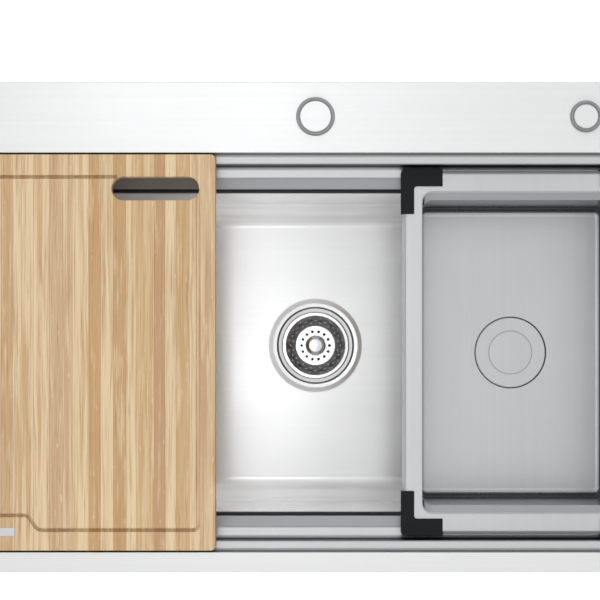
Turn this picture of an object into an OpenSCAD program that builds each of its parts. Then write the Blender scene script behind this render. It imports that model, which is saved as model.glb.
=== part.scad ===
// Workstation kitchen sink: a drop-in steel sink whose front and back walls step down in two ledges.
// A bamboo board slides on the upper ledges, a steel tub on the lower ones.
// Lengths are in millimetres. The origin is the middle of the rim, on the worktop's surface.
// +X is right, +Y is back, towards the tap deck, and +Z is up.

/* [Rim] */
// Width of the rim, left to right
rim_w = 1160; // [1120:10:1200]
// Depth of the rim, front to back
rim_d = 500; // [495:1:510]
// Thickness of the rim plate
rim_t = 3; // [2:0.5:4]
// Outer corner radius of the rim plate
rim_r = 12; // [6:1:20]
// Width of the rim along the front edge
front_rim = 20.2; // [19.8:0.2:22]
// Width of the rim at each end
side_rim = 19.4; // [19.4:0.2:22]
// Depth of the tap deck behind the opening
tap_deck = 72.2; // [70:0.2:76]
// Corner radius of the opening
opening_r = 6; // [4:1:6]
// Thickness of the sealing strip under the rim
seal_t = 1; // [0.5:0.5:2]
// Width of the sealing strip
seal_w = 9; // [6:1:9]
// Thickness of the worktop that the clips grip
worktop_t = 30; // [26:1:40]

/* [Ledges] */
// Thickness of the steel sheet of ledges, end walls and bowl
sheet_t = 1.2; // [1:0.1:1.5]
// Depth of the upper ledge below the rim's top
upper_drop = 16; // [14:1:18]
// Width of the upper ledge
upper_w = 11.1; // [10:0.1:12]
// Depth of the lower ledge below the rim's top
lower_drop = 32; // [32:1:36]
// Flat width of the lower ledge
lower_w = 11.7; // [11:0.1:12]
// Width of the slope that leads from the lower ledge to the bowl wall
slope_w = 15; // [12:1:16]
// Height of that slope
slope_h = 12; // [10:1:14]

/* [Bowl] */
// Depth of the bowl below the rim's top
bowl_depth = 220; // [210:5:230]
// Radius of the bowl's upright corners
bowl_r = 30; // [28:1:40]
// Radius of the bend between walls and floor
bowl_bend = 26; // [18:1:27]

/* [Drain] */
// Distance of the drain behind the middle of the bowl
drain_back = 8; // [0:1:20]
// Diameter of the pressed recess in the floor
recess_d = 103; // [102:1:110]
// Depth of that recess
recess_h = 2.5; // [2:0.5:3]
// Diameter of the strainer's flange
flange_d = 87; // [86:1:90]
// Diameter of the basket where its cone starts
basket_d = 66.4; // [64:0.2:67]
// Diameter of the basket's bottom
basket_base_d = 47.4; // [44:0.2:50]
// Depth of the basket
basket_h = 31; // [26:1:32]
// Diameter of the lifting knob
knob_d = 22.5; // [18:0.5:26]

/* [Board] */
// Length of the board along the sink
board_w = 450; // [380:10:450]
// Thickness of the board
board_t = 18; // [16:1:20]
// Left edge of the board from the left end of the opening
board_left = 8.7; // [2:0.1:20]
// Width of the juice groove
groove_w = 4; // [3:0.5:6]
// Depth of the juice groove
groove_h = 3; // [2:0.5:4]
// Length of the hand slot
slot_w = 89.5; // [80:0.5:100]
// Width of the hand slot
slot_d = 24.5; // [22:0.5:26]

/* [Tub] */
// Distance of the tub's middle right of the tap
tub_x = 212; // [100:1:230]
// Outer width of the tub's rim
tub_w = 245; // [240:1:260]
// Outer depth of the tub's rim
tub_d = 375; // [374:0.5:376]
// Inner width of the tub
tub_in_w = 203.6; // [190:0.2:206]
// Inner depth of the tub at its rim
tub_in_d = 332; // [330:1:334]
// Width of the sloping lip at front and back
lip_w = 8.5; // [7:0.5:9]
// Depth of the tub's floor below the sink's rim
tub_depth = 140; // [120:1:145]
// Thickness of the tub's sheet
tub_t = 1; // [0.8:0.1:1.2]
// Radius of the tub's upright corners
tub_r = 11; // [11:0.5:14]
// Radius of the tub's floor bend
tub_bend = 10; // [8:0.5:10]
// Diameter of the tub's plug
plug_d = 75; // [72:1:78]

/* [Hole covers] */
// Diameter of the tap hole
tap_hole_d = 35; // [34:1:36]
// Diameter of the soap dispenser hole
soap_hole_d = 28; // [27:1:30]
// Distance of both holes from the back edge
hole_back = 35.2; // [34:0.2:36]
// Distance of the soap dispenser hole right of the tap hole
soap_x = 276; // [270:1:282]

/* [Hidden] */
$fn = 64;

// Steel, dark rubber, bamboo, zinc plate and moulded plastic
steel = [0.80, 0.81, 0.83];
bright_steel = [0.88, 0.89, 0.91];
rubber = [0.13, 0.13, 0.14];
bamboo = [0.87, 0.74, 0.55];
zinc = [0.66, 0.67, 0.66];
plastic = [0.82, 0.82, 0.80];

// Heights: the worktop's surface is zero
rim_top = seal_t + rim_t;
z_upper = rim_top - upper_drop;
z_lower = rim_top - lower_drop;
z_slope = z_lower - slope_h;
weld_h = 6;
z_weld = z_slope - weld_h;
z_floor = rim_top - bowl_depth;

// The opening and the half depths of its steps, from its own middle
opening_w = rim_w - 2 * side_rim;
opening_d = rim_d - front_rim - tap_deck;
opening_y = (front_rim - tap_deck) / 2;
y_opening = opening_d / 2;
y_upper = y_opening - upper_w;
y_lower = y_upper - lower_w;
y_bowl = y_lower - slope_w;

// Gap between pieces that slide past each other
slip = 0.3;

// ---- Bent sheet: a path with a bend radius at each corner, thickened to its left ----

bend_steps = 8;

function left_of(v) = [-v.y, v.x] / norm(v);

function turn(a, b, c) = atan2((b - a).x * (c - b).y - (b - a).y * (c - b).x, (b - a) * (c - b));

function bend(a, b, c, r) =
    let (u = (b - a) / norm(b - a), t = turn(a, b, c), start = b - u * r * tan(abs(t) / 2))
    [for (k = [0:bend_steps])
        let (q = abs(t) * k / bend_steps)
        start + r * sin(q) * u + sign(t) * r * (1 - cos(q)) * left_of(u)];

function bent_line(path, radii) =
    [path[0],
     for (i = [1:1:len(path) - 2]) each
        (radii[i] > 0 ? bend(path[i - 1], path[i], path[i + 1], radii[i]) : [path[i]]),
     path[len(path) - 1]];

function shifted_corner(a, b, c, t) =
    let (m = left_of(b - a), n = left_of(c - b)) b + (m + n) * t / (1 + m * n);

function shifted_path(path, t) =
    let (last = len(path) - 1)
    [path[0] + left_of(path[1] - path[0]) * t,
     for (i = [1:1:last - 1]) shifted_corner(path[i - 1], path[i], path[i + 1], t),
     path[last] + left_of(path[last] - path[last - 1]) * t];

function shifted_radii(path, radii, t) =
    [for (i = [0:len(path) - 1])
        (i == 0 || i == len(path) - 1) ? 0
            : max(0, radii[i] - sign(turn(path[i - 1], path[i], path[i + 1])) * t)];

function reversed(list) = [for (i = [len(list) - 1:-1:0]) list[i]];

module bent_sheet(path, radii, t)
    polygon(concat(bent_line(path, radii),
                   reversed(bent_line(shifted_path(path, t), shifted_radii(path, radii, t)))));

// ---- Shared forms ----

module rounded_rect(w, d, r) {
    square([w - 2 * r, d], center = true);
    square([w, d - 2 * r], center = true);
    for (x = [-1, 1])
        for (y = [-1, 1])
            translate([x * (w / 2 - r), y * (d / 2 - r)]) circle(r);
}

// A profile carried round a rounded rectangle: its x counts from the centre of the corner
module swept(w, d, r) {
    for (a = [0, 180])
        rotate(a) {
            translate([w / 2 - r, d / 2 - r, 0]) rotate([90, 0, 0])
                linear_extrude(d - 2 * r) children();
            translate([r - w / 2, d / 2 - r, 0]) rotate([90, 0, 90])
                linear_extrude(w - 2 * r) children();
            translate([w / 2 - r, d / 2 - r, 0]) rotate_extrude(angle = 90) children();
            translate([r - w / 2, d / 2 - r, 0]) rotate(90)
                rotate_extrude(angle = 90) children();
        }
}

// A profile in depth and height, drawn out along the sink and centred
module along_x(length) rotate([90, 0, 90]) linear_extrude(length, center = true) children();

module tube(r_out, r_in, h) linear_extrude(h) difference() {
    circle(r_out);
    circle(r_in);
}

// ---- Rim ----

hole_y = rim_d / 2 - hole_back;

module at_tap_hole() translate([0, hole_y, 0]) children();
module at_soap_hole() translate([soap_x, hole_y, 0]) children();

module rim_plate() color(steel) translate([0, 0, seal_t]) linear_extrude(rim_t) difference() {
    rounded_rect(rim_w, rim_d, rim_r);
    translate([0, opening_y]) rounded_rect(opening_w, opening_d, opening_r);
    at_tap_hole() circle(d = tap_hole_d);
    at_soap_hole() circle(d = soap_hole_d);
}

seal_inset = 1;

module rim_seal() color(rubber) linear_extrude(seal_t) difference() {
    rounded_rect(rim_w - 2 * seal_inset, rim_d - 2 * seal_inset, rim_r - seal_inset);
    square([rim_w - 2 * (seal_inset + seal_w), rim_d - 2 * (seal_inset + seal_w)], center = true);
}

// ---- Ledges: one bent sheet each, from under the rim to the bowl's wall ----

// Bend radii of the sheet: tight at the ledges' edges, wider in their corners and above the bowl
upper_bend = 4;
lower_bend = 5;
edge_bend = 2.5;
slope_bend = 10;

ledge_path = [
    [y_opening, seal_t],
    [y_opening, z_upper],
    [y_upper, z_upper],
    [y_upper, z_lower],
    [y_lower, z_lower],
    [y_bowl, z_slope],
    [y_bowl, z_weld]
];
ledge_bends = [0, upper_bend, edge_bend, lower_bend, edge_bend, slope_bend, 0];

module ledge() color(steel) translate([0, opening_y, 0]) children();

module ledge_sheet() along_x(opening_w) bent_sheet(ledge_path, ledge_bends, sheet_t);

module ledge_back() ledge() ledge_sheet();
module ledge_front() ledge() rotate(180) ledge_sheet();

// A flat plate with the ledges' stepped outline closes each end
module end_wall(side) color(steel) translate([side * (opening_w + sheet_t) / 2, opening_y, 0])
    along_x(sheet_t) {
        outline = shifted_path(ledge_path, sheet_t);
        polygon(concat(outline, reversed([for (p = outline) [-p.x, p.y]])));
    }

module end_wall_left() end_wall(-1);
module end_wall_right() end_wall(1);

// ---- Bowl: swept walls and floor bend, a flat floor, and a pressed recess for the strainer ----

drain_y = opening_y + drain_back;
strainer_hole_r = 39.5;
recess_slope = 3;
recess_bend = 1.5;
recess_seat = -recess_h;
recess_outer = recess_d / 2 + 2;

module at_drain() translate([0, drain_y, z_floor]) children();

module bowl_wall() bent_sheet(
    [[bowl_r, z_weld], [bowl_r, z_floor], [0, z_floor]],
    [0, bowl_bend, 0], sheet_t);

module bowl() color(steel) {
    bowl_d = 2 * y_bowl;
    translate([0, opening_y, 0]) {
        swept(opening_w, bowl_d, bowl_r) bowl_wall();
        // small webs fill the corners between the rounded bowl and the square ledge ends
        translate([0, 0, z_weld - sheet_t]) linear_extrude(sheet_t) difference() {
            square([opening_w + 2 * sheet_t, bowl_d + 2 * sheet_t], center = true);
            rounded_rect(opening_w, bowl_d, bowl_r);
        }
    }
    difference() {
        translate([0, opening_y, z_floor - sheet_t / 2])
            cube([opening_w - 2 * bowl_r, bowl_d - 2 * bowl_r, sheet_t], center = true);
        at_drain() translate([0, 0, -2 * sheet_t]) cylinder(r = recess_outer, h = 3 * sheet_t);
    }
    at_drain() rotate_extrude() bent_sheet(
        [[recess_outer, 0], [recess_d / 2, 0], [recess_d / 2 - recess_slope, recess_seat],
         [strainer_hole_r, recess_seat]],
        [0, recess_bend, recess_bend, 0], sheet_t);
}

// ---- Sound-deadening pads under the floor and on the walls ----

sound_pad_t = 2;
floor_pad_x = 260;
floor_pad_w = 360;
floor_pad_d = 240;
wall_pad_w = 800;
wall_pad_h = 100;
sound_pad_r = 15;

module floor_pad(side) color(rubber)
    translate([side * floor_pad_x, opening_y, z_floor - sheet_t - sound_pad_t])
        linear_extrude(sound_pad_t) rounded_rect(floor_pad_w, floor_pad_d, sound_pad_r);

module wall_pad(side) color(rubber)
    translate([0, opening_y + side * (y_bowl + sheet_t + sound_pad_t / 2), (z_weld + z_floor) / 2])
        rotate([90, 0, 0]) linear_extrude(sound_pad_t, center = true)
            rounded_rect(wall_pad_w, wall_pad_h, sound_pad_r);

module sound_pad_left() floor_pad(-1);
module sound_pad_right() floor_pad(1);
module sound_pad_front() wall_pad(-1);
module sound_pad_back() wall_pad(1);

// ---- Fixing rails and clips: x counts outwards from the rail's welded face ----

rail_t = 1.2;
rail_reach = 5;
rail_bottom = -26;
rail_lip_top = -17.5;
rail_l = 1000;
end_rail_l = 300;
deck_flange = 12;
hole_room = 45;
end_rail_x = opening_w / 2 + sheet_t;
front_rail_y = opening_y - y_opening - sheet_t;
clip_t = 1.5;
clip_w = 20;
clip_x = 16;

rail_hook = [[0, rail_bottom], [rail_reach, rail_bottom], [rail_reach, rail_lip_top]];
rail_path = concat([[0, seal_t]], rail_hook);
deck_rail_path = concat([[-deck_flange, seal_t - rail_t], [0, seal_t - rail_t]], rail_hook);

module rail(length) along_x(length) bent_sheet(rail_path, [0, 2, 2, 0], rail_t);

module rail_front() color(zinc) translate([0, front_rail_y, 0]) rotate(180) rail(rail_l);
module rail_left() color(zinc) translate([-end_rail_x, opening_y, 0]) rotate(90) rail(end_rail_l);
module rail_right() color(zinc) translate([end_rail_x, opening_y, 0]) rotate(-90) rail(end_rail_l);

// The back rail hangs under the tap deck and leaves room round both holes
back_rail_spans = [
    [-rail_l / 2, -hole_room],
    [hole_room, soap_x - hole_room],
    [soap_x + hole_room, rail_l / 2]
];

module rail_back() color(zinc) for (span = back_rail_spans)
    translate([(span[0] + span[1]) / 2, -front_rail_y, 0])
        along_x(span[1] - span[0]) bent_sheet(deck_rail_path, [0, 1, 2, 2, 0], rail_t);

clip_along = [-420, -140, 140, 420];
clip_ends = [-110, 110];

module at_clips() {
    for (x = clip_along) {
        translate([x, front_rail_y, 0]) rotate(180) children();
        translate([x, -front_rail_y, 0]) children();
    }
    for (y = clip_ends) {
        translate([-end_rail_x, opening_y + y, 0]) rotate(90) children();
        translate([end_rail_x, opening_y + y, 0]) rotate(-90) children();
    }
}

clip_top = rail_lip_top + clip_t;
clip_foot = -worktop_t - 26;
clip_hook_x = 1.75;
clip_hook_h = 4.5;
clip_leg_x = rail_reach + 1.8;
clip_tongue = 8;
clip_path = [
    [clip_hook_x, rail_lip_top - clip_hook_h],
    [clip_hook_x, clip_top],
    [clip_leg_x, clip_top],
    [clip_leg_x, clip_foot],
    [clip_x + clip_tongue, clip_foot]
];
screw_r = 3;
screw_head_r = 5.77;
screw_head_h = 4;
weld_nut_r = 6.4;
weld_nut_h = 5;
clamp_pad_h = 7;
clamp_pad_r = 6.5;
clamp_pad_skirt = 2.5;
clamp_neck_r = 5;
screw_socket = 3;
screw_gap = 0.1;
screw_tip = -worktop_t - screw_socket;
screw_end = clip_foot - 26;

module clip_brackets() color(zinc) at_clips() difference() {
    union() {
        along_x(clip_w) bent_sheet(clip_path, [0, 2, 2, 1, 0], -clip_t);
        translate([0, clip_x, clip_foot]) cylinder(r = weld_nut_r, h = weld_nut_h, $fn = 6);
    }
    translate([0, clip_x, clip_foot - 2 * clip_t])
        cylinder(r = screw_r + 0.05, h = weld_nut_h + 3 * clip_t);
}

module clip_screws() color(zinc) at_clips() translate([0, clip_x, 0]) {
    translate([0, 0, screw_end]) cylinder(r = screw_r, h = screw_tip - screw_end);
    translate([0, 0, screw_end - screw_head_h]) cylinder(r = screw_head_r, h = screw_head_h, $fn = 6);
}

module clip_feet() color(plastic) at_clips() translate([0, clip_x, -worktop_t])
    rotate_extrude() polygon([
        [0, 0], [clamp_pad_r - 1, 0], [clamp_pad_r, -1], [clamp_pad_r, -clamp_pad_skirt],
        [clamp_neck_r, -clamp_pad_h], [screw_r + screw_gap, -clamp_pad_h],
        [screw_r + screw_gap, -screw_socket], [0, -screw_socket]
    ]);

// ---- Hole covers: a bevelled steel cap with a stud, clamped from below ----

cap_over = 2.4;
cap_flat = 1.6;
cap_h = 3;
cap_bevel = 1.7;
cap_ring = 0.8;
cap_step = 1.7;
cap_edge = 0.4;
gasket_w = 1.6;
gasket_t = 0.6;
gasket_inset = 0.6;
stud_r = 4;
stud_l = 38;
cap_washer_t = 4;
cap_washer_plug = 2;
cap_washer_over = 6;
cap_washer_edge = 2;
cap_nut_h = 8;
cap_nut_top_r = 8;
cap_nut_low_r = 6.5;
wing_t = 2.5;
// Outline of a wing: distance from where it leaves the nut, and height
wing = [[0, -1], [5, -1], [13, -9], [14, -14], [10, -15], [4, -8], [0, -7.5]];

module cap(hole_d) color(bright_steel) translate([0, 0, rim_top]) {
    r = hole_d / 2 + cap_over;
    ring_r = r - cap_bevel - cap_ring;
    boss_r = r - gasket_inset - gasket_w - cap_edge;
    rotate_extrude() polygon([
        [0, 0], [boss_r, 0], [boss_r, gasket_t], [r - cap_edge, gasket_t],
        [r, gasket_t + cap_edge], [r - cap_bevel, cap_h], [ring_r, cap_h],
        [ring_r - cap_step, cap_flat], [0, cap_flat]
    ]);
    translate([0, 0, -stud_l]) cylinder(r = stud_r, h = stud_l + gasket_t / 2);
}

module cap_gasket(hole_d) color(rubber) translate([0, 0, rim_top]) {
    r = hole_d / 2 + cap_over - gasket_inset;
    tube(r, r - gasket_w, gasket_t);
}

// The washer's boss centres it in the hole
module cap_washer(hole_d) color(plastic) translate([0, 0, seal_t]) {
    bore_r = stud_r + 0.3;
    boss_r = hole_d / 2 - 0.5;
    r = hole_d / 2 + cap_washer_over;
    rotate_extrude() polygon([
        [bore_r, cap_washer_plug], [boss_r, cap_washer_plug], [boss_r, 0], [r, 0],
        [r, -cap_washer_edge], [stud_r + cap_washer_over, -cap_washer_t], [bore_r, -cap_washer_t]
    ]);
}

module cap_nut() color(zinc) translate([0, 0, seal_t - cap_washer_t]) difference() {
    union() {
        translate([0, 0, -cap_nut_h]) cylinder(r1 = cap_nut_low_r, r2 = cap_nut_top_r, h = cap_nut_h);
        for (a = [0, 180])
            rotate(a) translate([stud_r + 1, wing_t / 2, 0]) rotate([90, 0, 0])
                linear_extrude(wing_t) polygon(wing);
    }
    translate([0, 0, -cap_nut_h - 1]) cylinder(r = stud_r + 0.05, h = cap_nut_h + 2);
}

module tap_cap() at_tap_hole() cap(tap_hole_d);
module tap_cap_gasket() at_tap_hole() cap_gasket(tap_hole_d);
module tap_cap_washer() at_tap_hole() cap_washer(tap_hole_d);
module tap_cap_nut() at_tap_hole() cap_nut();
module soap_cap() at_soap_hole() cap(soap_hole_d);
module soap_cap_gasket() at_soap_hole() cap_gasket(soap_hole_d);
module soap_cap_washer() at_soap_hole() cap_washer(soap_hole_d);
module soap_cap_nut() at_soap_hole() cap_nut();

// ---- Strainer: heights count from the bowl's floor ----

flange_r = flange_d / 2;
body_r = 38.4;
seat_r = 37.2;
throat_r = 34.4;
// The outlet takes a G1 1/2 union nut, 47.8 mm over the thread
outlet_r = 23.9;
outlet_bore_r = 20.4;
gasket_h = 1;
flange_under = -recess_h + gasket_h;
cup_bottom = -40;
outlet_top = -50.5;
outlet_end = -68;

module strainer_body() color(bright_steel) at_drain() rotate_extrude() polygon([
    [flange_r, flange_under], [flange_r, -0.9], [flange_r - 0.6, -0.5], [38, -0.9],
    [seat_r + 0.1, -1.4], [seat_r, -3.4], [throat_r + 0.2, -3.9], [throat_r, -5],
    [throat_r, cup_bottom], [outlet_bore_r, -47], [outlet_bore_r, outlet_end],
    [outlet_r, outlet_end], [outlet_r, outlet_top], [body_r, outlet_top + 7],
    [body_r, flange_under]
]);

module strainer_gasket() color(rubber) at_drain() translate([0, 0, -recess_h])
    tube(flange_r - 0.6, strainer_hole_r + 0.1, gasket_h);

washer_r = 48;
washer_h = 3;
slip_ring_h = 1;
washer_top = -recess_h - sheet_t;

module strainer_washer() color(rubber) at_drain() translate([0, 0, washer_top - washer_h])
    tube(washer_r, body_r + 0.4, washer_h);

module strainer_slip_ring() color(plastic) at_drain()
    translate([0, 0, washer_top - washer_h - slip_ring_h])
        tube(washer_r, body_r + 0.4, slip_ring_h);

nut_r = 50;
nut_h = 12;
nut_lugs = 8;
lug_w = 8;
lug_reach = 5;

module strainer_nut() color(plastic) at_drain()
    translate([0, 0, washer_top - washer_h - slip_ring_h - nut_h]) {
        tube(nut_r, body_r + 0.1, nut_h);
        for (k = [0:nut_lugs - 1])
            rotate(k * 360 / nut_lugs) translate([nut_r - 1, -lug_w / 2, 0])
                cube([lug_reach + 1, lug_w, nut_h - 2]);
    }

// ---- Basket: a perforated steel cone with its post, knob and rubber stopper ----

basket_t = 0.8;
basket_rim = -2.1;
basket_floor = basket_rim - basket_h;
basket_path = [
    [seat_r - 0.4, basket_rim],
    [basket_d / 2, basket_rim],
    [basket_base_d / 2, basket_floor],
    [0, basket_floor]
];
hole_r = 1.6;
hole_sides = 12;
wall_rows = 3;
wall_holes = 16;
floor_rings = [[9, 8], [16, 14]];
post_r = 3;
knob_top = -6;
knob_h = 8;
stopper_top = basket_floor - 3;
stopper_h = 7;

module basket_cup() color(steel) at_drain() difference() {
    rotate_extrude() bent_sheet(basket_path, [0, 1.6, 3, 0], basket_t);
    // staggered rows of round holes in the cone
    for (row = [1:wall_rows])
        for (k = [0:wall_holes - 1])
            rotate((k + row / 2) * 360 / wall_holes)
                translate([0, 0, basket_rim - row * basket_h / (wall_rows + 1)])
                    rotate([0, 90, 0]) translate([0, 0, 10]) cylinder(r = hole_r, h = 30, $fn = hole_sides);
    for (ring = floor_rings)
        for (k = [0:ring[1] - 1])
            rotate(k * 360 / ring[1]) translate([ring[0], 0, basket_floor - 2])
                cylinder(r = hole_r, h = 4, $fn = hole_sides);
    translate([0, 0, basket_floor - 2]) cylinder(r = post_r + 0.05, h = 4);
}

module basket_post() color(bright_steel) at_drain() rotate_extrude() polygon([
    [0, knob_top - 4], [2, knob_top - 4], [2, knob_top - knob_h], [post_r, knob_top - knob_h],
    [post_r, basket_floor], [post_r, stopper_top], [2, stopper_top], [2, stopper_top - stopper_h - 2],
    [0, stopper_top - stopper_h - 2]
]);

module basket_knob() color(bright_steel) at_drain() translate([0, 0, knob_top]) {
    r = knob_d / 2;
    rotate_extrude() polygon([
        [0, 0], [r - 4, -0.3], [r - 1.5, -1.2], [r, -2.8], [r - 0.4, -4], [r - 3, -4.8],
        [4.5, -5.6], [4, -knob_h], [2, -knob_h], [2, -4], [0, -4]
    ]);
}

module basket_stopper() color(rubber) at_drain() translate([0, 0, stopper_top]) rotate_extrude()
    polygon([
        [2, 0], [19, 0], [22, -1.5], [22, -3], [18, -stopper_h + 1], [16, -stopper_h], [2, -stopper_h]
    ]);

// ---- Board: measured from its own middle ----

board_x = -opening_w / 2 + board_left + board_w / 2;
board_d = opening_d - 3.6;
board_r = 5;
board_edge = 1.5;
slot_edge = 1;
board_bottom = z_upper + slip;
board_top = board_bottom + board_t;
groove_side = 18;
groove_back = 23;
groove_front = 21;
slot_x = board_w / 2 - 16.75 - slot_w / 2;
slot_y = board_d / 2 - 22.5 - slot_d / 2;
plate_w = 40.8;
plate_d = 9.2;
plate_t = 1.5;
plate_y = 19 - board_d / 2;
jog_in = 33.8;
jog_out = 43.5;
jog_d = 15;

groove_path = let (
    x = board_w / 2 - groove_side,
    back = board_d / 2 - groove_back,
    front = groove_front - board_d / 2
) [
    [slot_x - slot_w / 2 + slot_d / 2, back],
    [-x, back],
    [-x, front],
    [-jog_out, front],
    [-jog_in, front + jog_d],
    [jog_in, front + jog_d],
    [jog_out, front],
    [x, front],
    [x, slot_y]
];

module at_board() translate([board_x, opening_y, 0]) children();

// The blank: its outline, with the long edges rounded both ways across
module board_blank() intersection() {
    middle = [0, board_bottom + board_t / 2];
    translate([0, 0, board_bottom]) linear_extrude(board_t) rounded_rect(board_w, board_d, board_r);
    along_x(board_w) translate(middle) rounded_rect(board_d, board_t, board_edge);
    rotate(90) along_x(board_d) translate(middle) rounded_rect(board_w, board_t, board_edge);
}

// Half of the hand slot's section, widened at both faces
module slot_section() {
    r = slot_d / 2;
    polygon([
        [0, board_bottom - 1], [r + slot_edge + 1, board_bottom - 1], [r, board_bottom + slot_edge],
        [r, board_top - slot_edge], [r + slot_edge + 1, board_top + 1], [0, board_top + 1]
    ]);
}

module hand_slot() translate([slot_x, slot_y, 0]) {
    straight = slot_w - slot_d;
    for (side = [0, 1])
        mirror([0, side, 0]) along_x(straight) slot_section();
    for (x = [-1, 1])
        translate([x * straight / 2, 0, 0]) rotate_extrude() slot_section();
}

module board() color(bamboo) at_board() difference() {
    board_blank();
    hand_slot();
    // juice groove that steps round the plate and runs out into the slot
    translate([0, 0, board_top - groove_h]) linear_extrude(groove_h + 1)
        bent_sheet(shifted_path(groove_path, -groove_w / 2), [0, 6, 6, 5, 5, 5, 5, 6, 0], groove_w);
    translate([0, plate_y, board_top - plate_t]) linear_extrude(plate_t + 1)
        rounded_rect(plate_w, plate_d, 1.5);
}

module board_plate() color(bright_steel) at_board() translate([0, plate_y, board_top - plate_t])
    linear_extrude(plate_t) rounded_rect(plate_w - 0.1, plate_d - 0.1, 1.45);

// ---- Tub: a bent rim, a sloping lip at front and back, straight walls and a bent floor ----

pad_foot = 1.5;
tub_rim_z = z_lower + slip + 12.2;
tub_lip_end = z_lower + slip + pad_foot;
tub_floor = rim_top - tub_depth;
tub_edge_r = 8;
tub_edge_bend = 5;
lip_h = 6;
z_collar = tub_rim_z - lip_h;
tub_body_d = tub_in_d - 2 * lip_w;

module at_tub() translate([tub_x, opening_y, 0]) children();
module at_plug() at_tub() translate([0, 0, tub_floor]) children();

// The space above the sloping lips, lowered by drop
module above_lips(drop) along_x(tub_in_w + 10) {
    slope = lip_h / lip_w;
    far = tub_in_d / 2 + 4;
    polygon([
        [-tub_body_d / 2, z_collar - drop], [tub_body_d / 2, z_collar - drop],
        [far, z_collar - drop + (far - tub_body_d / 2) * slope], [far, tub_rim_z + 5],
        [-far, tub_rim_z + 5], [-far, z_collar - drop + (far - tub_body_d / 2) * slope]
    ]);
}

module tub_collar() {
    sheet_drop = tub_t * sqrt(1 + pow(lip_h / lip_w, 2));
    difference() {
        intersection() {
            translate([0, 0, z_collar - sheet_drop]) linear_extrude(lip_h + sheet_drop)
                rounded_rect(tub_in_w + 2 * tub_t, tub_in_d + 2 * tub_t, tub_r + tub_t);
            above_lips(sheet_drop);
        }
        intersection() {
            translate([0, 0, z_collar - 5]) linear_extrude(lip_h + 10)
                rounded_rect(tub_in_w, tub_in_d, tub_r);
            above_lips(0);
        }
        translate([0, 0, z_collar - 5]) linear_extrude(lip_h + 10)
            rounded_rect(tub_in_w, tub_body_d, tub_r);
    }
}

plug_r = plug_d / 2;
plug_recess_r = plug_r + 1.1;
plug_recess_h = 3;
plug_hole_r = 29;
plug_seat_r = plug_recess_r + 5;

module tub_shell() color(steel) {
    at_tub() {
        swept(tub_w, tub_d, tub_edge_r) bent_sheet(
            [[tub_edge_r - tub_edge_bend, tub_rim_z], [tub_edge_r, tub_rim_z],
             [tub_edge_r, tub_lip_end]],
            [0, tub_edge_bend, 0], -tub_t);
        translate([0, 0, tub_rim_z - tub_t]) linear_extrude(tub_t) difference() {
            rounded_rect(tub_w - 2 * tub_edge_bend, tub_d - 2 * tub_edge_bend,
                         tub_edge_r - tub_edge_bend);
            rounded_rect(tub_in_w, tub_in_d, tub_r);
        }
        tub_collar();
        swept(tub_in_w, tub_body_d, tub_r) bent_sheet(
            [[tub_r, z_collar], [tub_r, tub_floor], [0, tub_floor]],
            [0, tub_bend, 0], tub_t);
    }
    at_plug() {
        difference() {
            translate([0, 0, -tub_t / 2])
                cube([tub_in_w - 2 * tub_r, tub_body_d - 2 * tub_r, tub_t], center = true);
            translate([0, 0, -2 * tub_t]) cylinder(r = plug_seat_r, h = 3 * tub_t);
        }
        // pressed seat and turned-down collar of the drain hole
        rotate_extrude() bent_sheet(
            [[plug_seat_r, 0], [plug_recess_r, 0], [plug_recess_r - 0.6, -plug_recess_h],
             [plug_hole_r, -plug_recess_h], [plug_hole_r, -plug_recess_h - 8]],
            [0, 1.5, 1, 1.5, 0], tub_t);
    }
}

// ---- Corner pads: silicone caps pushed over the corners of the tub's rim ----

pad_top = 2;
pad_skirt = 1.3;
pad_leg_x = 42.7;
pad_leg_y = 46.3;
pad_in_x = 17.8;
pad_in_y = 13.4;
pad_foot_in = 5.3;
pad_foot_r = 3;
pad_span = 60;

// L-shaped outline whose outer corner is the origin, legs towards -X and -Y
module pad_outline() difference() {
    translate([-pad_leg_x, -pad_leg_y]) square([pad_leg_x, pad_leg_y]);
    translate([-pad_leg_x - 1, -pad_leg_y - 1])
        square([pad_leg_x + 1 - pad_in_y, pad_leg_y + 1 - pad_in_x]);
    difference() {
        translate([-tub_edge_r, -tub_edge_r]) square(tub_edge_r + 1);
        translate([-tub_edge_r, -tub_edge_r]) circle(tub_edge_r);
    }
}

// The hollow of a pad: everything inside an edge, with a round corner
module pad_inner(edge, r) translate([-edge, -edge]) {
    translate([-pad_span, -pad_span]) square([pad_span - r, pad_span]);
    translate([-pad_span, -pad_span]) square([pad_span, pad_span - r]);
    translate([-r, -r]) circle(r);
}

module corner_pad(x, y) color(rubber) at_tub()
    mirror([x < 0 ? 1 : 0, 0, 0]) mirror([0, y < 0 ? 1 : 0, 0])
        translate([tub_w / 2 + pad_skirt, tub_d / 2 + pad_skirt, 0]) {
            translate([0, 0, tub_rim_z]) linear_extrude(pad_top) pad_outline();
            // skirt outside the bent edge, and a foot under it
            translate([0, 0, tub_lip_end]) linear_extrude(tub_rim_z - tub_lip_end) difference() {
                pad_outline();
                pad_inner(pad_skirt, tub_edge_r - pad_skirt);
            }
            translate([0, 0, tub_lip_end - pad_foot]) linear_extrude(pad_foot) difference() {
                pad_outline();
                pad_inner(pad_foot_in, pad_foot_r);
            }
        }

module pad_front_left() corner_pad(-1, -1);
module pad_front_right() corner_pad(1, -1);
module pad_back_left() corner_pad(-1, 1);
module pad_back_right() corner_pad(1, 1);

// ---- Plug: a steel disc on a silicone body ----

disc_top = 0.3;
disc_t = 1.5;
disc_groove_r = 23.4;
plug_body_r = plug_hole_r - 0.6;

module plug_disc() color(steel) at_plug() difference() {
    translate([0, 0, disc_top - disc_t]) cylinder(r = plug_r, h = disc_t);
    translate([0, 0, disc_top - 0.5]) tube(disc_groove_r + 0.4, disc_groove_r - 0.4, 1);
}

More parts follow.
